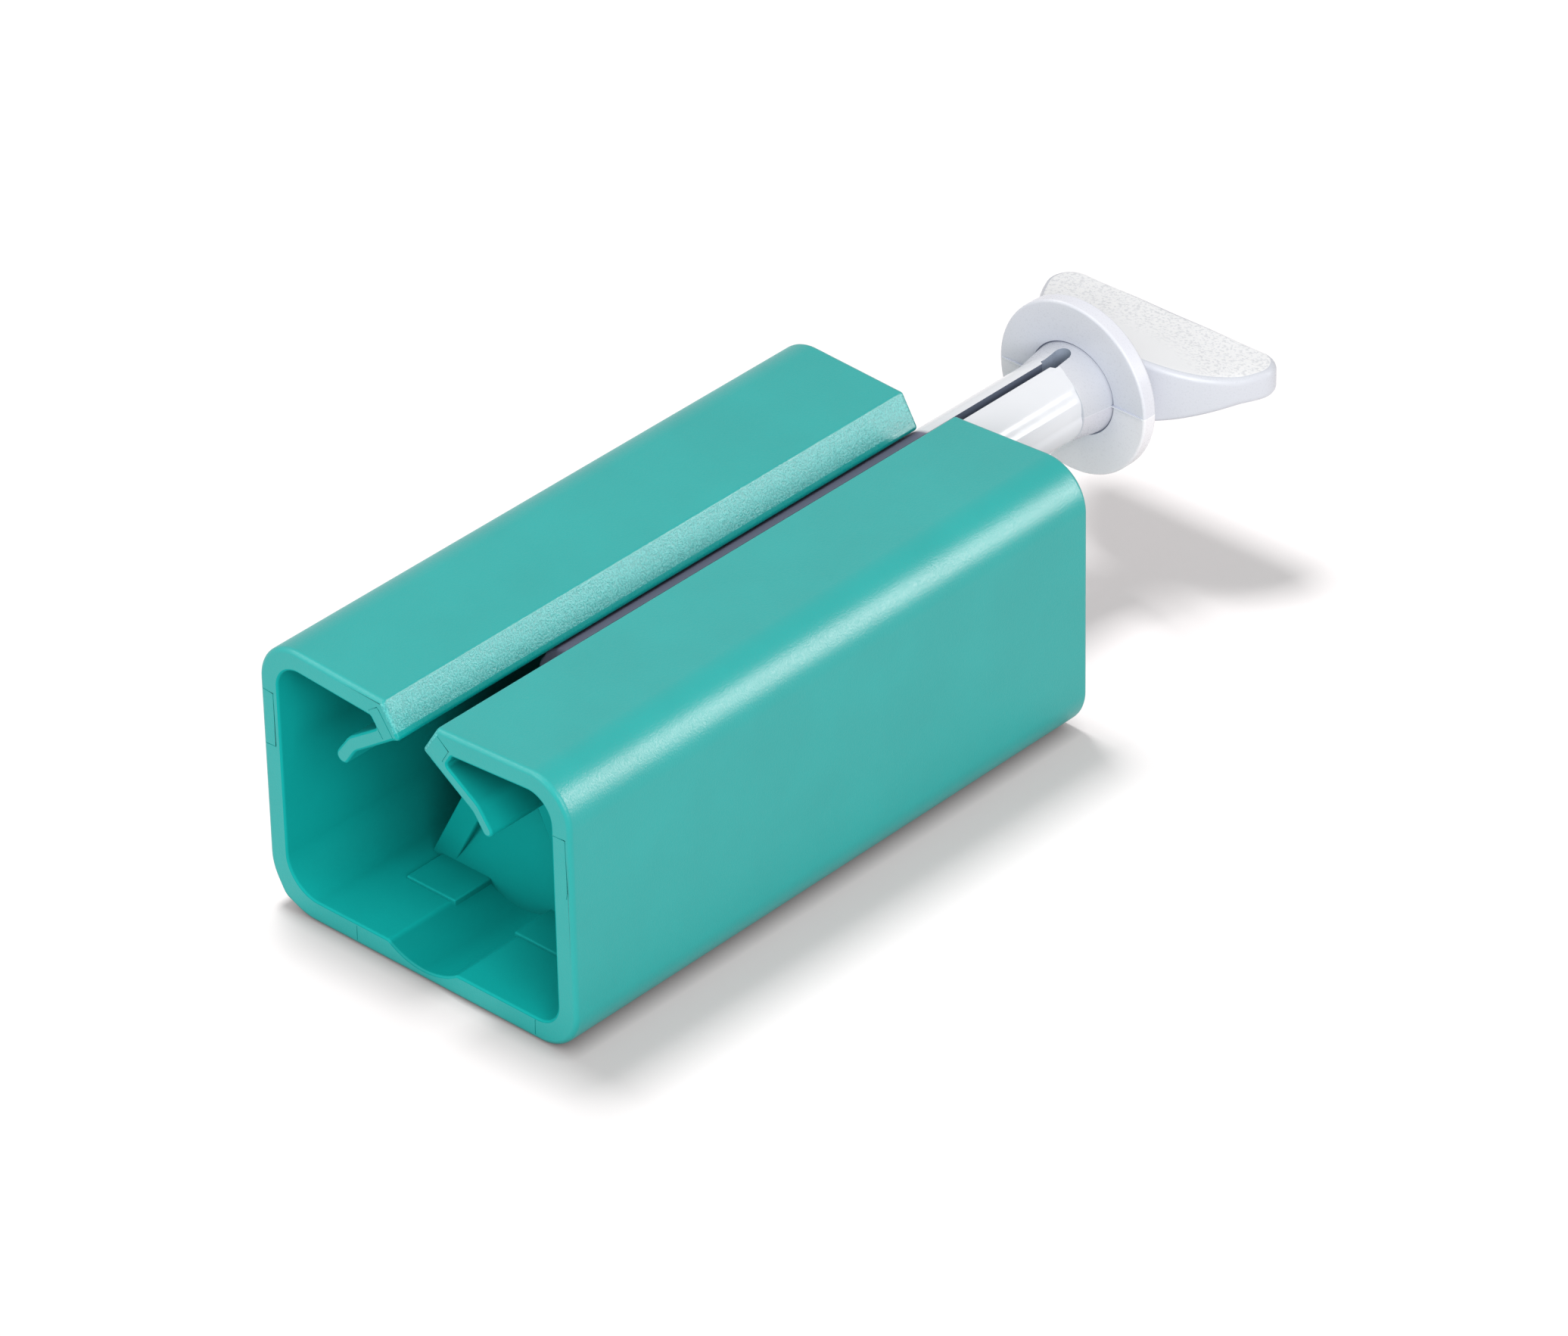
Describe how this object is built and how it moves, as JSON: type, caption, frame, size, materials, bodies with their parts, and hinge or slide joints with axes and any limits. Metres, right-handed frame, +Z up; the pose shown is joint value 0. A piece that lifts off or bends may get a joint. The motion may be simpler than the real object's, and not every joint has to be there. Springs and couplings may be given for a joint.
{
  "type": "toothpaste tube squeezer",
  "caption": "Free-standing toothpaste tube squeezer: open box housing with a slot and stripping lips along its top, and a winding key with a split shaft, flange and half-moon grip.",
  "frame": {"origin": "middle of the housing's flat base, on the surface that it stands on", "axes": "+X across the width, +Y along the key's axis towards its grip, +Z up"},
  "size_m": [0.0414, 0.1131, 0.0323],
  "materials": {
    "teal_housing": "fine satin grain, coarser grain on the slot's left chamfer",
    "white_shaft": "gloss",
    "white_handle": "satin, grained on the grip's faces"
  },
  "bodies": {
    "housing": {"housing": "teal_housing"},
    "key": {"winding_shaft": "white_shaft", "key_handle": "white_handle"}
  },
  "joints": [
    {"name": "key_spin", "type": "hinge", "parent": "housing", "child": "key", "pos_m": [0, 0.0549, 0.02252], "axis": [0, 1, 0], "continuous": true}
  ]
}
